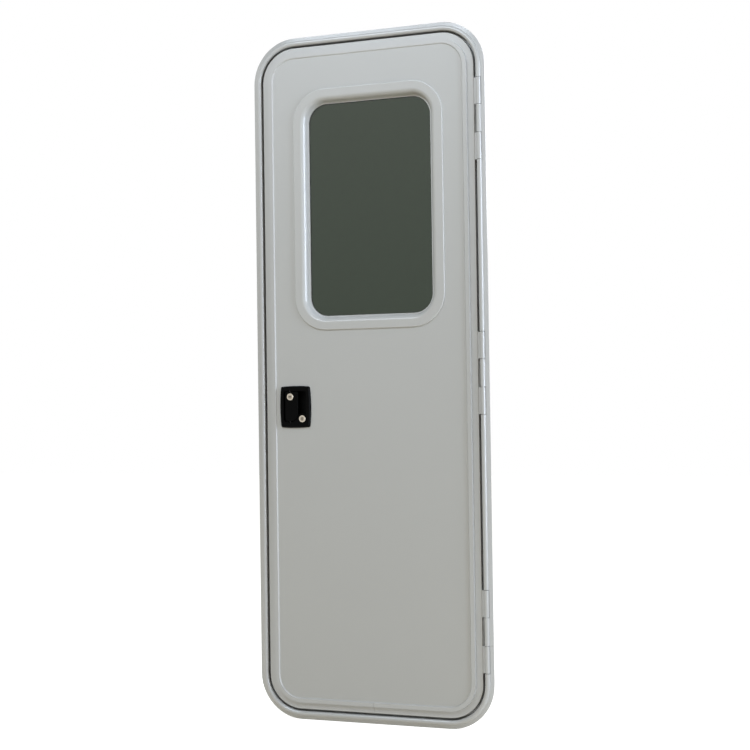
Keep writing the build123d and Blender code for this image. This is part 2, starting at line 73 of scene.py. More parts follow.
Colour = tuple[float, float, float, float]
Point = tuple[float, float]
# A step along an outline: its point across and up, and its outward direction
Step = tuple[Point, Point]
Ring = list[bmesh.types.BMVert]

# Turns that point a screw's own Z to the hinge side and to the inside
TO_HINGE_SIDE = Matrix.Rotation(math.pi / 2, 4, "Y")
TO_INSIDE = Matrix.Rotation(-math.pi / 2, 4, "X")


class Body(Enum):
    """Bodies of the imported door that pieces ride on."""

    FRAME = "frame"
    LEAF = "door_leaf"
    UPPER_KEY = "upper_key"
    LOWER_KEY = "lower_key"


class Slot(Enum):
    """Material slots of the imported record."""

    FRAME_COAT = "frame_powder_coat"
    PANEL_PAINT = "panel_paint"
    INNER_PAINT = "inner_paint"
    CORE_FOAM = "core_foam"
    SURROUND = "surround_plastic"
    INNER_SURROUND = "inner_surround_plastic"
    GLASS = "tinted_glass"
    RUBBER = "seal_rubber"
    SCREEN = "screen_mesh"
    LOCK_PLASTIC = "lock_plastic"
    LOCK_METAL = "lock_metal"
    KEY_PLUG = "key_plug_metal"
    PIN_STEEL = "pin_steel"
    LATCH_METAL = "latch_metal"
    INNER_HANDLE = "inner_handle_plastic"


class HeadForm(Enum):
    """Forms of a screw's head, each with its rise as a share of its diameter."""

    PAN = 0.36
    RAISED_COUNTERSUNK = 0.14


def linear(hex_colour: str) -> Colour:
    """Turn an sRGB hex colour to linear light.

    Args:
        hex_colour: Six hex digits after a hash sign.

    Returns:
        Linear red, green and blue, and an alpha of 1.
    """
    parts = [int(hex_colour[i:i + 2], 16) / 255 for i in (1, 3, 5)]
    red, green, blue = [p / 12.92 if p <= 0.04045 else ((p + 0.055) / 1.055) ** 2.4 for p in parts]
    return red, green, blue, 1.0


def add_node(
    tree: bpy.types.NodeTree,
    kind: str,
    settings: dict[str | int, Any] | None = None,
    links: dict[str | int, bpy.types.NodeSocket] | None = None,
) -> bpy.types.Node:
    """Add a node with its settings and links.

    Args:
        tree: Node tree that the node goes into.
        kind: Blender's type name of the node.
        settings: Values of its inputs, by name or number, or of its own properties.
        links: Output sockets that feed its inputs, by name or number.

    Returns:
        The new node.
    """
    node = tree.nodes.new(kind)
    for name, value in (settings or {}).items():
        if isinstance(name, int) or name in node.inputs:
            node.inputs[name].default_value = value
        else:
            setattr(node, name, value)
    for name, source in (links or {}).items():
        tree.links.new(source, node.inputs[name])
    return node


@dataclass(frozen=True)
class Finish(ABC):
    """One real finish: its material, how its surface was made, and how it takes light."""

    name: str
    slot: Slot
    colour: str
    roughness: float
    ior: float = 1.5
    metallic: float = 0.0
    specular: float = 0.5

    def material(self) -> bpy.types.Material:
        """Give the finish's material, made on first use.

        Returns:
            Node material named for the finish.
        """
        found = bpy.data.materials.get(self.name)
        if found:
            return found
        made = bpy.data.materials.new(self.name)
        made.use_nodes = True
        made.diffuse_color = linear(self.colour)
        tree = made.node_tree
        shader = tree.nodes["Principled BSDF"]
        shader.inputs["Base Color"].default_value = linear(self.colour)
        shader.inputs["Roughness"].default_value = self.roughness
        shader.inputs["Metallic"].default_value = self.metallic
        shader.inputs["Specular IOR Level"].default_value = self.specular
        if not self.metallic:
            shader.inputs["IOR"].default_value = self.ior
        place = add_node(tree, "ShaderNodeTexCoord").outputs["Object"]
        self.pattern(tree, shader, place)
        return made

    @abstractmethod
    def pattern(
        self, tree: bpy.types.NodeTree, shader: bpy.types.Node, place: bpy.types.NodeSocket
    ) -> None:
        """Lay the finish's own pattern into its shader.

        Args:
            tree: The material's node tree.
            shader: Its shader node.
            place: Coordinates on the piece, in metres.
        """

    def noise(
        self,
        tree: bpy.types.NodeTree,
        place: bpy.types.NodeSocket,
        size_mm: float,
        detail: float,
        roughness: float = 0.5,
    ) -> bpy.types.NodeSocket:
        """Give noise from 0 to 1 with marks of a real size and finer layers of a given weight."""
        settings = {"Scale": 1 / (size_mm * MM), "Detail": detail, "Roughness": roughness}
        return add_node(tree, "ShaderNodeTexNoise", settings, {"Vector": place}).outputs["Fac"]

    def raise_by(
        self,
        tree: bpy.types.NodeTree,
        shader: bpy.types.Node,
        *layers: tuple[bpy.types.NodeSocket, float],
    ) -> None:
        """Raise the surface by patterns, each over the one before.

        Args:
            tree: The material's node tree.
            shader: Its shader node.
            layers: Each pattern from 0 to 1, and its height in millimetres.
        """
        below: dict[str | int, bpy.types.NodeSocket] = {}
        for height, height_mm in layers:
            bump = add_node(
                tree,
                "ShaderNodeBump",
                {"Strength": 1.0, "Distance": height_mm * MM},
                {"Height": height, **below},
            )
            below = {"Normal": bump.outputs["Normal"]}
        tree.links.new(below["Normal"], shader.inputs["Normal"])

    def vary_tone(
        self, tree: bpy.types.NodeTree, shader: bpy.types.Node, mask: bpy.types.NodeSocket, share: float
    ) -> None:
        """Vary the finish's colour by a pattern.

        Args:
            tree: The material's node tree.
            shader: Its shader node.
            mask: Pattern from 0 to 1.
            share: Share by which the colour darkens and lightens.
        """
        red, green, blue, alpha = linear(self.colour)
        ramp = add_node(tree, "ShaderNodeValToRGB", links={"Fac": mask})
        for end, level in zip(ramp.color_ramp.elements, (1 - share, 1 + share)):
            end.color = (red * level, green * level, blue * level, alpha)
        tree.links.new(ramp.outputs["Color"], shader.inputs["Base Color"])

    def vary_gloss(
        self, tree: bpy.types.NodeTree, shader: bpy.types.Node, mask: bpy.types.NodeSocket, share: float
    ) -> None:
        """Vary the finish's roughness by a pattern.

        Args:
            tree: The material's node tree.
            shader: Its shader node.
            mask: Pattern from 0 to 1.
            share: Share by which the roughness falls and rises.
        """
        ends = {"To Min": self.roughness * (1 - share), "To Max": self.roughness * (1 + share)}
        gloss = add_node(tree, "ShaderNodeMapRange", ends, {"Value": mask})
        tree.links.new(gloss.outputs["Result"], shader.inputs["Roughness"])


@dataclass(frozen=True)
class SprayedCoat(Finish):
    """Sprayed or coil-laid coating with orange peel and a faint wave in the metal under it."""

    peel_mm: float = 2.5
    peel_height_mm: float = 0.004
    wave_mm: float = 160.0
    wave_height_mm: float = 0.02
    tone: float = 0.012

    def pattern(
        self, tree: bpy.types.NodeTree, shader: bpy.types.Node, place: bpy.types.NodeSocket
    ) -> None:
        """Lay long waves, orange peel over them, and a slow drift of tone.

        Args:
            tree: The material's node tree.
            shader: Its shader node.
            place: Coordinates on the piece, in metres.
        """
        wave = self.noise(tree, place, self.wave_mm, detail=1.0, roughness=0.4)
        peel = self.noise(tree, place, self.peel_mm, detail=2.0)
        self.raise_by(tree, shader, (wave, self.wave_height_mm), (peel, self.peel_height_mm))
        self.vary_tone(tree, shader, wave, self.tone)


@dataclass(frozen=True)
class MouldedGrain(Finish):
    """Injection-moulded plastic or rubber with the tool's fine eroded grain."""

    grain_mm: float = 0.8
    grain_height_mm: float = 0.02
    sheen_mm: float = 40.0
    gloss_drift: float = 0.1
    tone: float = 0.04

    def pattern(
        self, tree: bpy.types.NodeTree, shader: bpy.types.Node, place: bpy.types.NodeSocket
    ) -> None:
        """Lay the tool's grain, and the slow drift of tone and gloss of a moulding.

        Args:
            tree: The material's node tree.
            shader: Its shader node.
            place: Coordinates on the piece, in metres.
        """
        grain = self.noise(tree, place, self.grain_mm, detail=3.0, roughness=0.6)
        drift = self.noise(tree, place, self.sheen_mm, detail=1.0)
        self.raise_by(tree, shader, (grain, self.grain_height_mm))
        self.vary_gloss(tree, shader, drift, self.gloss_drift)
        self.vary_tone(tree, shader, drift, self.tone)


@dataclass(frozen=True)
class ToolMarked(Finish):
    """Bare or plated metal with the fine lines that turning, drawing or grinding leaves."""

    line_mm: float = 0.3
    line_height_mm: float = 0.004
    gloss_drift: float = 0.2
    across: tuple[float, float, float] = (1.0, 1.0, 0.05)

    def pattern(
        self, tree: bpy.types.NodeTree, shader: bpy.types.Node, place: bpy.types.NodeSocket
    ) -> None:
        """Stretch noise along the tool's way, and let it mark height and gloss.

        Args:
            tree: The material's node tree.
            shader: Its shader node.
            place: Coordinates on the piece, in metres.
        """
        along = add_node(tree, "ShaderNodeMapping", {"Scale": self.across}, {"Vector": place})
        lines = self.noise(tree, along.outputs["Vector"], self.line_mm, detail=2.0)
        self.raise_by(tree, shader, (lines, self.line_height_mm))
        self.vary_gloss(tree, shader, lines, self.gloss_drift)


@dataclass(frozen=True)
class FoamBeads(Finish):
    """Expanded polystyrene, pressed from round beads."""

    bead_mm: float = 4.0
    bead_height_mm: float = 0.4
    tone: float = 0.05

    def pattern(
        self, tree: bpy.types.NodeTree, shader: bpy.types.Node, place: bpy.types.NodeSocket
    ) -> None:
        """Lay cells of the beads' size, with their joints sunk and darker.

        Args:
            tree: The material's node tree.
            shader: Its shader node.
            place: Coordinates on the piece, in metres.
        """
        cells = {"feature": "DISTANCE_TO_EDGE", "Scale": 1 / (self.bead_mm * MM)}
        beads = add_node(tree, "ShaderNodeTexVoronoi", cells, {"Vector": place}).outputs["Distance"]
        self.raise_by(tree, shader, (beads, self.bead_height_mm))
        self.vary_tone(tree, shader, beads, self.tone)


@dataclass(frozen=True)
class TintedPane(Finish):
    """Body-tinted pane that lets little light through."""

    roller_mm: float = 90.0
    roller_height_mm: float = 0.01

    def pattern(
        self, tree: bpy.types.NodeTree, shader: bpy.types.Node, place: bpy.types.NodeSocket
    ) -> None:
        """Let light through, and bend reflections by the long roller wave of toughened glass.

        Args:
            tree: The material's node tree.
            shader: Its shader node.
            place: Coordinates on the piece, in metres.
        """
        shader.inputs["Transmission Weight"].default_value = 1.0
        wave = self.noise(tree, place, self.roller_mm, detail=0.0)
        self.raise_by(tree, shader, (wave, self.roller_height_mm))


# Gloss polyester powder coat baked on aluminium: an even pale grey with a clear highlight on each bead
POWDER_COAT = SprayedCoat(
    "powder_coated_aluminium", Slot.FRAME_COAT, "#BDBDBC", 0.24, ior=1.55, specular=1.0,
    peel_height_mm=0.002, wave_height_mm=0.012,
)
# Coil-coated aluminium sheet: as pale, flatter and wider in its wave than the extrusions
COIL_COAT = SprayedCoat(
    "coil_coated_aluminium_sheet", Slot.PANEL_PAINT, "#C5C5C4", 0.34,
    peel_mm=4.0, peel_height_mm=0.002, wave_mm=240.0, wave_height_mm=0.05,
)
# Vinyl-faced inner sheet: warm white and satin
VINYL_FACE = MouldedGrain(
    "vinyl_faced_aluminium_sheet", Slot.INNER_PAINT, "#D6D6D1", 0.45, grain_mm=1.4, tone=0.01
)
# Expanded polystyrene: matt white beads with faint joints
FOAM = FoamBeads("expanded_polystyrene", Slot.CORE_FOAM, "#E6E7E4", 0.85)
# Gloss moulded ASA: as pale as the coat, with sharper highlights
GLOSS_ASA = MouldedGrain(
    "gloss_moulded_asa", Slot.SURROUND, "#C8C8C7", 0.16, ior=1.52, grain_mm=6.0,
    grain_height_mm=0.006, tone=0.01,
)
# Satin moulded ABS: a soft even sheen on the inside clamping ring
SATIN_ABS = MouldedGrain(
    "satin_moulded_abs", Slot.INNER_SURROUND, "#CFCFCA", 0.42, ior=1.54, tone=0.012
)
# Grey-green body-tinted toughened glass: dark, with a clear reflection on top
PRIVACY_GLASS = TintedPane("tinted_toughened_glass", Slot.GLASS, "#344131", 0.02, ior=1.52)
# Extruded EPDM rubber: dull black
EPDM = MouldedGrain("extruded_epdm_rubber", Slot.RUBBER, "#1C1D1D", 0.62, grain_mm=0.5)
# PVC-coated glass yarn, woven: charcoal with a dull sheen
SCREEN_YARN = MouldedGrain("pvc_coated_glass_yarn", Slot.SCREEN, "#33363A", 0.55, grain_mm=0.4)
# Glass-filled nylon, moulded in a deeply eroded tool: near black, its grain traps most of the gloss
BLACK_NYLON = MouldedGrain(
    "glass_filled_nylon", Slot.LOCK_PLASTIC, "#080808", 0.42, ior=1.53, specular=0.03, grain_mm=0.9
)
# Nickel-plated zinc, turned: warm silver rings
NICKEL_ZINC = ToolMarked(
    "nickel_plated_zinc", Slot.LOCK_METAL, "#C9BFAF", 0.4, metallic=1.0
)
# Nickel-plated brass key plug: a shade darker than its bezel
NICKEL_BRASS = ToolMarked(
    "nickel_plated_brass", Slot.KEY_PLUG, "#A39A8D", 0.34, metallic=1.0
)
# Ground stainless steel: hinge pins with a bright narrow glint
GROUND_STEEL = ToolMarked("ground_stainless_steel", Slot.PIN_STEEL, "#B9BABA", 0.28, metallic=1.0)
# Black-oxide steel: the paddle's pivot pins, dark with a dull glint
BLACK_OXIDE = ToolMarked("black_oxide_steel", Slot.PIN_STEEL, "#3C3B3A", 0.42, metallic=1.0)
# Phosphated spring steel, near black and without a glint: the keyway shutters, whose dark colour is
# painted shade that stands in for the depth of each keyway
KEYWAY_SHADE_STEEL = ToolMarked("phosphated_steel_keyway_shade", Slot.PIN_STEEL, "#1B1A19", 0.6, metallic=1.0)
# Tooled polyurethane sealant: a dull grey line over the frame's joint
SEALANT = MouldedGrain("polyurethane_sealant", Slot.RUBBER, "#86867F", 0.6, grain_mm=1.0)
# Zinc-plated pressed steel: a cool streaked silver on keeper, latch and screws
ZINC_STEEL = ToolMarked(
    "zinc_plated_steel", Slot.LATCH_METAL, "#B4B7BA", 0.36, metallic=1.0, line_mm=0.6
)
# Moulded nylon: black with a soft highlight on the inside handle
HANDLE_NYLON = MouldedGrain(
    "moulded_nylon", Slot.INNER_HANDLE, "#1B1B1C", 0.45, ior=1.53, grain_mm=0.7
)


def dress(finish: Finish, *nodes: str) -> Iterator[bpy.types.Object]:
    """Give CAD nodes a finish.

    Args:
        finish: Finish that they share.
        nodes: Names of the nodes.

    Yields:
        Each dressed node's object.
    """
    for name in nodes:
        piece = frame["nodes"][name]
        for slot in piece.material_slots:
            slot.material = finish.material()
        yield piece


def place_mesh(name: str, mesh: bmesh.types.BMesh, finish: Finish, body: Body) -> bpy.types.Object:
    """Turn a built mesh into a piece that rides on a body.

    Args:
        name: Name of the piece.
        mesh: Its mesh, in metres in the door's frame, which is freed.
        finish: Its finish.
        body: Body that carries it.

    Returns:
        The new piece.
    """
    bmesh.ops.recalc_face_normals(mesh, faces=mesh.faces)
    data = bpy.data.meshes.new(name)
    mesh.to_mesh(data)
    mesh.free()
    data.materials.append(finish.material())
    piece = bpy.data.objects.new(name, data)
    bpy.context.scene.collection.objects.link(piece)
    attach(piece, body.value)
    return piece


def bridge(mesh: bmesh.types.BMesh, near: Ring, far: Ring) -> list[bmesh.types.BMFace]:
    """Close the band between two rings.

    Args:
        mesh: Mesh that holds both rings.
        near: First ring.
        far: Second ring, in step with the first.

    Returns:
        The band's faces in order.
    """
    corners = zip(near, near[1:] + near[:1], far[1:] + far[:1], far)
    return [mesh.faces.new(face) for face in corners]


def loft(mesh: bmesh.types.BMesh, rings: list[Ring]) -> None:
    """Join rings in a row and close both ends.

    Args:
        mesh: Mesh that holds the rings.
        rings: The rings in order.
    """
    for near, far in zip(rings, rings[1:]):
        bridge(mesh, near, far)
    mesh.faces.new(rings[0])
    mesh.faces.new(rings[-1])


def chord(across: float, tall: float, radius: float, offset: float) -> float:
    """Half the chord of a rounded rectangle at an offset from its middle.

    Args:
        across: Size along the offset.
        tall: Size along the chord.
        radius: Corner radius.
        offset: Distance from the middle.

    Returns:
        Half of the chord.
    """
    past = max(0.0, abs(offset) - (across / 2 - radius))
    return tall / 2 - radius + math.sqrt(max(0.0, radius ** 2 - past ** 2))


@dataclass(frozen=True)
class RoundedRectangle:
    """Upright rounded rectangle about a middle, in metres."""

    middle: Vector
    width: float
    height: float
    radius: float

    def half_height(self, x: float) -> float:
        """Give half of the upright chord at a distance across from the middle."""
        return chord(self.width, self.height, self.radius, x)

    def half_width(self, z: float) -> float:
        """Give half of the level chord at a height from the middle."""
        return chord(self.height, self.width, self.radius, z)

    def walk(self, count: int) -> list[Step]:
        """Walk round the outline in even steps.

        Args:
            count: Number of steps.

        Returns:
            Each step's point across and up, and its outward direction.
        """
        straight_x = self.width - 2 * self.radius
        straight_z = self.height - 2 * self.radius
        bend = math.pi / 2 * self.radius
        spans = [straight_x, bend, straight_z, bend] * 2
        corners = [(1, 1), (1, -1), (-1, -1), (-1, 1)]
        total = sum(spans)
        steps = []
        for i in range(count):
            left = total * (i + 0.5) / count
            span = 0
            while left > spans[span]:
                left -= spans[span]
                span += 1
            sign_x, sign_z = corners[span // 2]
            heading = math.pi / 2 * (1 - span // 2)
            if span % 2:
                angle = heading - left / self.radius
                x = sign_x * straight_x / 2 + self.radius * math.cos(angle)
                z = sign_z * straight_z / 2 + self.radius * math.sin(angle)
            else:
                angle = heading
                along = left - spans[span] / 2
                x = math.cos(angle) * self.width / 2 + math.sin(angle) * along
                z = math.sin(angle) * self.height / 2 - math.cos(angle) * along
            steps.append(((self.middle.x + x, self.middle.z + z), (math.cos(angle), math.sin(angle))))
        return steps


@dataclass(frozen=True)
class CrossScrew:
    """Screw head with a cross recess, in metres."""

    form: HeadForm
    diameter: float
    segments: int = 24
    dome_rings: int = 4
    dome_end_deg: float = 60.0
    # Reach and half width of the recess's arms, as shares of the diameter
    arm_share: float = 0.2
    arm_half_share: float = 0.06
    # Floor of the recess: its outline as a share of the top's, its height as a share of the head's
    recess_taper: float = 0.6
    recess_floor: float = 0.3

    def profile(self) -> list[Point]:
        """Give the head's outline from its rim to the flat that the recess is cut in.

        Returns:
            Radius and height of each ring.
        """
        radius = self.diameter / 2
        rise = self.form.value * self.diameter
        end = math.radians(self.dome_end_deg)
        turns = [end * step / self.dome_rings for step in range(self.dome_rings + 1)]
        return [(radius * math.cos(t), rise * math.sin(t) / math.sin(end)) for t in turns]

    def add_to(self, mesh: bmesh.types.BMesh, place: Matrix) -> None:
        """Add the head to a mesh.

        Args:
            mesh: Mesh that the head joins.
            place: Place of the head's foot, with its own Z as the way out.
        """
        rings = []
        for radius, height in self.profile():
            turn = [math.tau * i / self.segments for i in range(self.segments)]
            points = [(radius * math.cos(t), radius * math.sin(t), height) for t in turn]
            rings.append([mesh.verts.new(place @ Vector(p)) for p in points])
        for lower, upper in zip(rings, rings[1:]):
            bridge(mesh, lower, upper)
        mesh.faces.new(list(reversed(rings[0])))
        self.cut_recess(mesh, place, rings[-1])

    def cut_recess(self, mesh: bmesh.types.BMesh, place: Matrix, rim: Ring) -> None:
        """Close the head's top with a tapered cross sunk into it.

        Args:
            mesh: Mesh that the head is in.
            place: Place of the head's foot.
            rim: Ring of the flat at the head's top.
        """
        top = self.profile()[-1][1]
        arm = self.arm_share * self.diameter
        half = self.arm_half_share * self.diameter
        corner = [(arm, half), (half, half), (half, arm)]
        cross = []
        for quarter in range(4):
            turn = Matrix.Rotation(quarter * math.pi / 2, 4, "Z")
            for x, y in corner:
                cross.append(turn @ Vector((x, y, 0)))
        lip = [mesh.verts.new(place @ (p + Vector((0, 0, top)))) for p in cross]
        depth = Vector((0, 0, top * self.recess_floor))
        floor = [mesh.verts.new(place @ (p * self.recess_taper + depth)) for p in cross]
        edges = []
        for loop in (rim, lip):
            for i, vertex in enumerate(loop):
                pair = (vertex, loop[(i + 1) % len(loop)])
                edges.append(mesh.edges.get(pair) or mesh.edges.new(pair))
        bmesh.ops.triangle_fill(mesh, edges=edges, use_beauty=True, use_dissolve=False)
        bridge(mesh, lip, floor)
        mesh.faces.new(floor)


def place_screws(
    name: str, screw: CrossScrew, feet: list[tuple[float, float, float]], way: Matrix, body: Body
) -> bpy.types.Object:
    """Set like screws as one piece.

    Args:
        name: Name of the piece.
        screw: The screw.
        feet: Where each head sits.
        way: Turn that points the heads out.
        body: Body that carries them.

    Returns:
        The screws as one piece.
    """
    mesh = bmesh.new()
    for foot in feet:
        screw.add_to(mesh, Matrix.Translation(foot) @ way)
    return place_mesh(name, mesh, ZINC_STEEL, body)


class Assembly(ABC):
    """A sub-assembly of the door."""

    @abstractmethod
    def build(self) -> Iterator[bpy.types.Object]:
        """Dress the sub-assembly's nodes and build its own pieces.

        Yields:
            Each piece in order.
        """


@dataclass
class DoorFrame(Assembly):
    """Bent outer frame with its seal, hinge pins and keeper."""

    keeper_screw: float = 6.0 * MM
    keeper_screw_end: float = 9.0 * MM
    joint_below_hinge: float = 34.6 * MM
    joint_reach: float = 8.0 * MM
    sealant_width: float = 1.0 * MM
    sealant_rise: float = 0.15 * MM
    sealant_steps: int = 9
    # Share of a step by which the first ring stands in from the flange's edge
    sealant_start: float = 0.25
    # Rays that find the flange's face start here, in front of the door
    ray_start: float = -1.0

    def build(self) -> Iterator[bpy.types.Object]:
        """Dress the frame, seal its joint and screw the keeper down.

        Yields:
            Each piece in order.
        """
        yield from dress(POWDER_COAT, "outer_frame")
        yield from dress(EPDM, "frame_seal")
        yield from dress(GROUND_STEEL, "hinge_pin_top", "hinge_pin_middle", "hinge_pin_bottom")
        yield from dress(ZINC_STEEL, "strike_plate")
        yield self.joint_sealant()
        yield self.keeper_screws()

    def joint_sealant(self) -> bpy.types.Object:
        """Draw a line of sealant over the flange where the bent frame's two ends meet.

        Returns:
            The line of sealant.
        """
        metal = frame["nodes"]["outer_frame"].data
        flange = BVHTree.FromPolygons(
            [v.co for v in metal.vertices], [tuple(p.vertices) for p in metal.polygons]
        )
        low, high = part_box("hinge_leaf_bottom")
        level = (low.z + high.z) / 2 - self.joint_below_hinge
        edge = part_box("outer_frame")[1].x
        mesh = bmesh.new()
        rings = []
        for step in range(self.sealant_steps):
            across = self.joint_reach * (step + self.sealant_start) / self.sealant_steps
            start = Vector((edge - across, self.ray_start, level + self.sealant_width))
            front = flange.ray_cast(start, Vector((0, 1, 0)))[0].y
            section = [
                (front, -self.sealant_width / 2),
                (front - self.sealant_rise, 0.0),
                (front, self.sealant_width / 2),
                (front + self.sealant_rise, 0.0),
            ]
            rings.append([mesh.verts.new((start.x, y, level + z)) for y, z in section])
        loft(mesh, rings)
        return place_mesh("frame_joint_sealant", mesh, SEALANT, Body.FRAME)

    def keeper_screws(self) -> bpy.types.Object:
        """Set two countersunk screws in the keeper plate.

        Returns:
            Both screws as one piece.
        """
        low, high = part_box("strike_plate")
        screw = CrossScrew(HeadForm.RAISED_COUNTERSUNK, self.keeper_screw)
        levels = (low.z + self.keeper_screw_end, high.z - self.keeper_screw_end)
        feet = [(high.x, (low.y + high.y) / 2, z) for z in levels]
        return place_screws("keeper_screws", screw, feet, TO_HINGE_SIDE, Body.FRAME)


@dataclass
class DoorLeaf(Assembly):
    """Sandwich panel in its bent rim, hung on three hinges."""

    hinges: tuple[str, ...] = ("top", "middle", "bottom")
    hinge_screw: float = 7.0 * MM
    hinge_screw_count: int = 4
    hinge_plate: float = 2.0 * MM

    def build(self) -> Iterator[bpy.types.Object]:
        """Dress the leaf and screw its hinges down.

        Yields:
            Each piece in order.
        """
        yield from dress(POWDER_COAT, "leaf_rim")
        yield from dress(COIL_COAT, "outer_skin")
        yield from dress(VINYL_FACE, "inner_skin")
        yield from dress(FOAM, "door_core")
        for name in self.hinges:
            yield from dress(POWDER_COAT, f"hinge_leaf_{name}")
            yield self.hinge_screws(name)

    def hinge_screws(self, name: str) -> bpy.types.Object:
        """Set a row of countersunk screws in one hinge's plate.

        Args:
            name: Which hinge.

        Returns:
            The row as one piece.
        """
        low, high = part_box(f"hinge_leaf_{name}")
        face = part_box("leaf_rim")[1].x + self.hinge_plate
        screw = CrossScrew(HeadForm.RAISED_COUNTERSUNK, self.hinge_screw)
        depth = high.y - self.hinge_screw
        shares = [(i + 0.5) / self.hinge_screw_count for i in range(self.hinge_screw_count)]
        feet = [(face, depth, low.z + (high.z - low.z) * share) for share in shares]
        return place_screws(f"hinge_screws_{name}", screw, feet, TO_HINGE_SIDE, Body.LEAF)


@dataclass
class WindowUnit(Assembly):
    """Fixed window: moulded surround, tinted pane, clamping ring and insect screen."""

    # The yarns are drawn half as coarse again as the real ones, so that the weave shows through the pane
    yarn: float = 0.45 * MM
    yarn_pitch: float = 2.4 * MM
    clamp_screw: float = 7.0 * MM
    clamp_screw_in: float = 13.0 * MM
    clamp_screw_count: int = 16
    clamp_corner: float = 77.0 * MM
    screen_corner: float = 49.9 * MM
    spline: float = 2.0 * MM
    spline_steps: int = 240
    spline_sides: int = 8

    def build(self) -> Iterator[bpy.types.Object]:
        """Dress the window, weave its screen and screw its clamping ring down.

        Yields:
            Each piece in order.
        """
        yield from dress(GLOSS_ASA, "window_surround")
        yield from dress(EPDM, "window_seal")
        yield from dress(PRIVACY_GLASS, "window_glass")
        yield from dress(SATIN_ABS, "window_inner_surround")
        yield self.weave()
        yield self.screen_spline()
        yield self.clamp_screws()

    def outline(self, node: str, corner: float, inset: float) -> RoundedRectangle:
        """Give a node's outline, set in by a distance.

        Args:
            node: Name of the CAD node.
            corner: Its corner radius.
            inset: Distance in from its edge.

        Returns:
            The outline about the node's middle.
        """
        low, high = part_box(node)
        size = high - low
        return RoundedRectangle((low + high) / 2, size.x - 2 * inset, size.z - 2 * inset, corner - inset)

    def weave(self) -> bpy.types.Object:
        """Lay upright and level yarns as two crossing layers inside the screen's outline.

        Returns:
            The weave, in the place of the screen's plain sheet.
        """
        low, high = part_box("fly_screen")
        outline = self.outline("fly_screen", self.screen_corner, 0.0)
        mesh = bmesh.new()
        columns = int(outline.width / self.yarn_pitch)
        rows = int(outline.height / self.yarn_pitch)
        depth = (low.y + high.y) / 2
        for i in range(1, columns):
            x = outline.width * (i / columns - 0.5)
            reach = outline.half_height(x)
            start = outline.middle + Vector((x, 0, -reach))
            start.y = depth - self.yarn / 2
            self.add_yarn(mesh, start, Vector((0, 0, 2 * reach)))
        for i in range(1, rows):
            z = outline.height * (i / rows - 0.5)
            reach = outline.half_width(z)
            start = outline.middle + Vector((-reach, 0, z))
            start.y = depth + self.yarn / 2
            self.add_yarn(mesh, start, Vector((2 * reach, 0, 0)))
        screen = place_mesh("screen_weave", mesh, SCREEN_YARN, Body.LEAF)
        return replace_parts(screen, "fly_screen")

    def add_yarn(self, mesh: bmesh.types.BMesh, start: Vector, run: Vector) -> None:
        """Add one straight four-sided yarn.

        Args:
            mesh: Mesh that the yarn joins.
            start: Its start.
            run: Its way and length.
        """
        side = Vector((0, 1, 0)).cross(run.normalized()) * self.yarn / 2
        front = Vector((0, self.yarn / 2, 0))
        ring = [side, front, -side, -front]
        near = [mesh.verts.new(start + p) for p in ring]
        far = [mesh.verts.new(start + run + p) for p in ring]
        loft(mesh, [near, far])

    def screen_spline(self) -> bpy.types.Object:
        """Run the rubber spline that holds the screen in its ledge.

        Returns:
            The spline as a closed loop.
        """
        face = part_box("fly_screen")[1].y
        path = self.outline("fly_screen", self.screen_corner, self.spline / 2)
        mesh = bmesh.new()
        rings = []
        for (x, z), (out_x, out_z) in path.walk(self.spline_steps):
            ring = []
            for i in range(self.spline_sides):
                angle = math.tau * i / self.spline_sides
                out = math.cos(angle) * self.spline / 2
                depth = face + math.sin(angle) * self.spline / 2
                ring.append(mesh.verts.new((x + out * out_x, depth, z + out * out_z)))
            rings.append(ring)
        for near, far in zip(rings, rings[1:] + rings[:1]):
            for side in bridge(mesh, near, far):
                side.smooth = True
        return place_mesh("screen_spline", mesh, EPDM, Body.LEAF)

    def clamp_screws(self) -> bpy.types.Object:
        """Set pan-head screws evenly round the inside clamping ring.

        Returns:
            The screws as one piece.
        """
        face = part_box("window_inner_surround")[1].y
        path = self.outline("window_inner_surround", self.clamp_corner, self.clamp_screw_in)
        screw = CrossScrew(HeadForm.PAN, self.clamp_screw)
        feet = [(x, face, z) for (x, z), _ in path.walk(self.clamp_screw_count)]
        return place_screws("window_clamp_screws", screw, feet, TO_INSIDE, Body.LEAF)


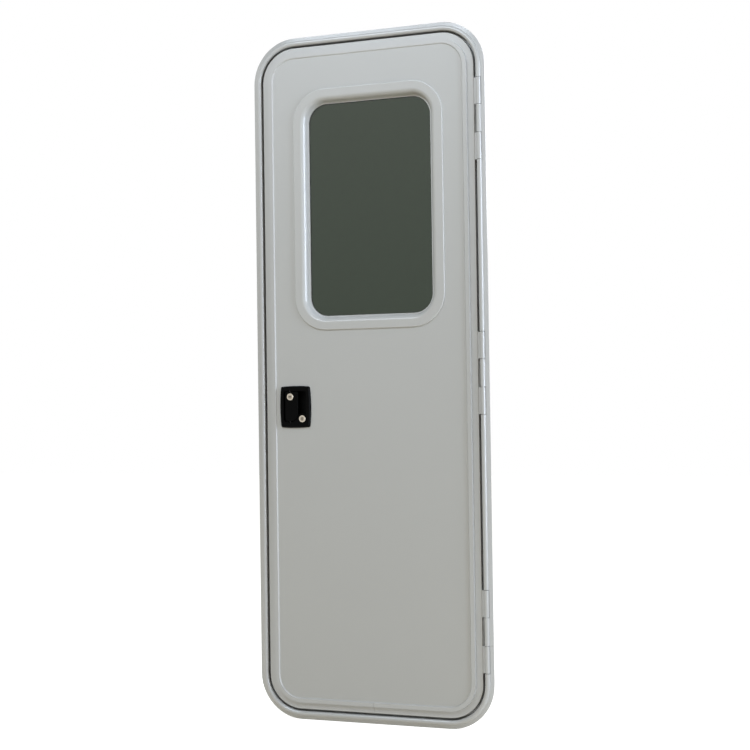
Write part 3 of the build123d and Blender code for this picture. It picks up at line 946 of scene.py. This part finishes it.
@dataclass
class PaddleLock(Assembly):
    """Recessed paddle lock with two key cylinders, and its latch."""

    keyway_length: float = 7.8 * MM
    keyway_width: float = 2.2 * MM
    shutter_fit: float = 0.05 * MM
    shutter_sink: float = 0.4 * MM
    shutter_bevel: float = 0.4 * MM
    shutter_thick: float = 1.2 * MM
    shutter_steps: int = 32

    def build(self) -> Iterator[bpy.types.Object]:
        """Dress the lock and close its keyways with shutters whose near-black steel is painted shade for
        the keyways' depth.

        Yields:
            Each piece in order.
        """
        yield from dress(BLACK_NYLON, "lock_escutcheon", "paddle_handle")
        yield from dress(BLACK_OXIDE, "lock_pivot_pins")
        yield from dress(NICKEL_ZINC, "upper_lock_barrel", "lower_lock_barrel")
        yield from dress(NICKEL_BRASS, "upper_key_plug", "lower_key_plug")
        yield from dress(ZINC_STEEL, "latch_bolt")
        yield self.shutter("upper", Body.UPPER_KEY, False)
        yield self.shutter("lower", Body.LOWER_KEY, True)

    def shutter(self, name: str, body: Body, upright: bool) -> bpy.types.Object:
        """Close one plug's keyway with its sprung weather shutter, near black as painted shade for the
        keyway's depth.

        Args:
            name: Which cylinder.
            body: Body of its plug.
            upright: Whether the keyway stands upright.

        Returns:
            The shutter, bevelled round its front.
        """
        low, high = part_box(f"{name}_key_plug")
        middle = (low + high) / 2
        front = low.y + self.shutter_sink
        mesh = bmesh.new()
        rings = []
        for inset, depth in (
            (self.shutter_bevel, front),
            (self.shutter_fit, front + self.shutter_bevel),
            (self.shutter_fit, front + self.shutter_thick),
        ):
            long, wide = self.keyway_length - 2 * inset, self.keyway_width - 2 * inset
            size = (wide, long) if upright else (long, wide)
            slot = RoundedRectangle(middle, *size, wide / 2)
            outline = slot.walk(self.shutter_steps)
            rings.append([mesh.verts.new((x, depth, z)) for (x, z), _ in outline])
        loft(mesh, rings)
        # The shutter's near-black steel paints the shade deep in the keyway
        return place_mesh(f"{name}_keyway_shade_shutter", mesh, KEYWAY_SHADE_STEEL, body)


@dataclass
class InsideHandle(Assembly):
    """Inside lever and snib on their back plate."""

    plate_screw: float = 6.5 * MM
    plate_screw_in: float = 9.0 * MM

    def build(self) -> Iterator[bpy.types.Object]:
        """Dress the handle and screw its plate down."""
        yield from dress(HANDLE_NYLON, "inner_handle_plate", "inner_lever", "inner_snib")
        yield self.plate_screws()

    def plate_screws(self) -> bpy.types.Object:
        """Set a countersunk screw in each corner of the back plate.

        Returns:
            The four screws as one piece.
        """
        low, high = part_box("inner_handle_plate")
        screw = CrossScrew(HeadForm.RAISED_COUNTERSUNK, self.plate_screw)
        sides = (low.x + self.plate_screw_in, high.x - self.plate_screw_in)
        levels = (low.z + self.plate_screw_in, high.z - self.plate_screw_in)
        feet = [(x, high.y, z) for x in sides for z in levels]
        return place_screws("handle_plate_screws", screw, feet, TO_INSIDE, Body.LEAF)


@dataclass(frozen=True)
class Softbox:
    """Rectangular studio lamp."""

    name: str
    place: tuple[float, float, float]
    aim: tuple[float, float, float]
    width: float
    height: float
    watts: float
    colour: str

    def build(self) -> bpy.types.Object:
        """Hang the lamp and point it.

        Returns:
            The lamp's object.
        """
        lamp = bpy.data.lights.new(self.name, "AREA")
        lamp.shape = "RECTANGLE"
        lamp.size = self.width
        lamp.size_y = self.height
        lamp.energy = self.watts
        lamp.color = linear(self.colour)[:3]
        hung = bpy.data.objects.new(self.name, lamp)
        hung.location = self.place
        hung.rotation_mode = "QUATERNION"
        hung.rotation_quaternion = (Vector(self.aim) - Vector(self.place)).to_track_quat("-Z", "Y")
        bpy.context.scene.collection.objects.link(hung)
        return hung


@dataclass
class Studio:
    """Pale floor, soft light and the camera at the photograph's viewing angle."""

    floor_half: float = 12.0
    floor_colour: str = "#D7CAB0"
    floor_shown: str = "#CBCBC8"
    floor_glow: float = 0.88
    sky_colour: str = "#FFFDEE"
    sky_strength: float = 0.338
    mirrored: tuple[float, float] = (0.68, 1.3)
    mirrored_climb: float = 0.27
    ceiling_shade: float = 0.3
    ceiling_climb: tuple[float, float] = (0.32, 0.6)
    eye: tuple[float, float, float] = (1.236, -3.350, 0.797)
    turn_deg: tuple[float, float, float] = (91.270, 0.825, 20.088)
    lens: float = 67.88
    sensor: float = 36.0
    softboxes: tuple[Softbox, ...] = (
        Softbox("high_softbox", (-0.5, -2.2, 3.2), (0.0, 0.0, 1.4), 1.8, 1.4, 51.0, "#E7F2FF"),
        Softbox("side_softbox", (5.87, -1.0, 1.5), (0.0, 0.0, 1.0), 1.8, 3.0, 245.0, "#DEECFF"),
        Softbox("back_softbox", (1.3, 3.2, 2.6), (0.0, 0.0, 1.0), 1.6, 2.0, 60.0, "#F4F7FF"),
    )

    def build(self) -> None:
        """Set up the view, the floor, the light and the camera."""
        bpy.context.scene.view_settings.view_transform = "Standard"
        self.lay_floor()
        self.light_world()
        for box in self.softboxes:
            box.build()
        self.set_camera()

    def rays(self, tree: bpy.types.NodeTree, *kinds: str) -> bpy.types.NodeSocket:
        """Tell some kinds of rays from the others.

        Args:
            tree: Node tree of the floor or the world.
            kinds: Names of the light path's outputs.

        Returns:
            Socket that is 1 for a ray of any of those kinds.
        """
        path = add_node(tree, "ShaderNodeLightPath")
        found = path.outputs[kinds[0]]
        for kind in kinds[1:]:
            both = add_node(
                tree, "ShaderNodeMath", {"operation": "MAXIMUM"}, {0: found, 1: path.outputs[kind]}
            )
            found = both.outputs["Value"]
        return found

    def lay_floor(self) -> None:
        """Lay the floor, which looks white and still takes the door's shadow."""
        mesh = bpy.data.meshes.new("floor")
        half = self.floor_half
        mesh.from_pydata(
            [(-half, -half, 0), (half, -half, 0), (half, half, 0), (-half, half, 0)], [], [(0, 1, 2, 3)]
        )
        floor = bpy.data.objects.new("floor", mesh)
        bpy.context.scene.collection.objects.link(floor)
        material = bpy.data.materials.new("pale_floor")
        material.use_nodes = True
        tree = material.node_tree
        tree.nodes.remove(tree.nodes["Principled BSDF"])
        seen = self.rays(tree, "Is Camera Ray", "Is Glossy Ray", "Is Transmission Ray")
        paint = add_node(tree, "ShaderNodeBsdfDiffuse", {"Color": linear(self.floor_colour)})
        shown = add_node(tree, "ShaderNodeBsdfDiffuse", {"Color": linear(self.floor_shown)})
        glow = add_node(tree, "ShaderNodeEmission", {"Strength": self.floor_glow})
        lifted = add_node(tree, "ShaderNodeAddShader", links={0: shown.outputs[0], 1: glow.outputs[0]})
        mixed = add_node(
            tree,
            "ShaderNodeMixShader",
            links={0: seen, 1: paint.outputs[0], 2: lifted.outputs[0]},
        )
        tree.links.new(mixed.outputs[0], tree.nodes["Material Output"].inputs["Surface"])
        mesh.materials.append(material)

    def light_world(self) -> None:
        """Surround the door with soft even light, graded in mirrors and white behind the door."""
        world = bpy.data.worlds.new("studio")
        world.use_nodes = True
        tree = world.node_tree
        sky = tree.nodes["Background"]
        sky.inputs["Color"].default_value = linear(self.sky_colour)
        sky.inputs["Strength"].default_value = self.sky_strength
        way = add_node(tree, "ShaderNodeTexCoord").outputs["Generated"]
        climb = add_node(tree, "ShaderNodeSeparateXYZ", links={"Vector": way}).outputs["Z"]
        low, high = self.mirrored
        graded = add_node(
            tree,
            "ShaderNodeMapRange",
            {"From Max": self.mirrored_climb, "To Min": low, "To Max": high},
            {"Value": climb},
        )
        start, end = self.ceiling_climb
        ceiling = add_node(
            tree,
            "ShaderNodeMapRange",
            {"From Min": start, "From Max": end, "To Min": 1.0, "To Max": self.ceiling_shade},
            {"Value": climb},
        )
        level = add_node(
            tree,
            "ShaderNodeMath",
            {"operation": "MULTIPLY"},
            {0: graded.outputs["Result"], 1: ceiling.outputs["Result"]},
        )
        mirrored = add_node(
            tree, "ShaderNodeBackground", {"Color": (1, 1, 1, 1)}, {"Strength": level.outputs["Value"]}
        )
        white = add_node(tree, "ShaderNodeBackground", {"Color": (1, 1, 1, 1), "Strength": 1.0})
        seen = sky
        for share, shown in (
            (self.rays(tree, "Is Glossy Ray"), mirrored),
            (self.rays(tree, "Is Camera Ray", "Is Transmission Ray"), white),
        ):
            seen = add_node(
                tree, "ShaderNodeMixShader", links={0: share, 1: seen.outputs[0], 2: shown.outputs[0]}
            )
        tree.links.new(seen.outputs[0], tree.nodes["World Output"].inputs["Surface"])
        bpy.context.scene.world = world

    def set_camera(self) -> None:
        """Stand the camera right of the door at mid height, with its slight roll."""
        data = bpy.data.cameras.new("camera")
        data.sensor_width = self.sensor
        data.lens = self.lens
        camera = bpy.data.objects.new("camera", data)
        camera.location = self.eye
        camera.rotation_euler = [math.radians(t) for t in self.turn_deg]
        bpy.context.scene.collection.objects.link(camera)
        bpy.context.scene.camera = camera


def clear_startup_objects() -> None:
    """Remove what a new Blender file holds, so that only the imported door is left."""
    kept = {*frame["nodes"].values(), *frame["bodies"].values()}
    for item in list(bpy.data.objects):
        if item not in kept:
            bpy.data.objects.remove(item)


def main() -> None:
    """Build the studio and each sub-assembly in order, and report every piece."""
    logging.basicConfig(level=logging.INFO, format="%(name)s: %(message)s")
    clear_startup_objects()
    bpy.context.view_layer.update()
    Studio().build()
    for assembly in (DoorFrame(), DoorLeaf(), WindowUnit(), PaddleLock(), InsideHandle()):
        for piece in assembly.build():
            LOG.info("%s: %s", type(assembly).__name__, piece.name)


if __name__ == "__main__":
    main()
